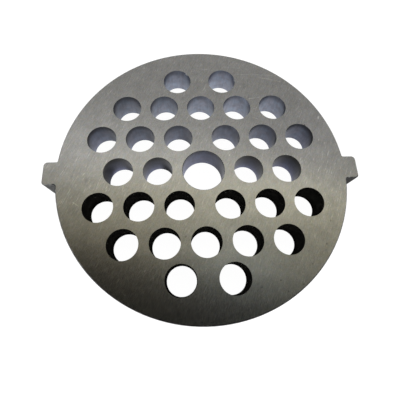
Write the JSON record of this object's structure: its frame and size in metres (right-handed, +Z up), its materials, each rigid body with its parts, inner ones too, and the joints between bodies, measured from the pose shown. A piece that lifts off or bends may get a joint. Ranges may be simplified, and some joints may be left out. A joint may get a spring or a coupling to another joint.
{
  "type": "meat grinder plate",
  "caption": "Round flat steel grinder plate with rows of straight holes, a central bore and a locating lug on each side.",
  "frame": {"origin": "on the bore's axis, at the lower face", "axes": "+Z up through the bore, out of the face that the knife wipes; +X through one of the two lugs"},
  "size_m": [0.0588, 0.054, 0.0054],
  "materials": {
    "ground_steel": "ground face, fine straight grain"
  },
  "bodies": {
    "root": {"grinder_plate": "ground_steel"}
  },
  "joints": []
}
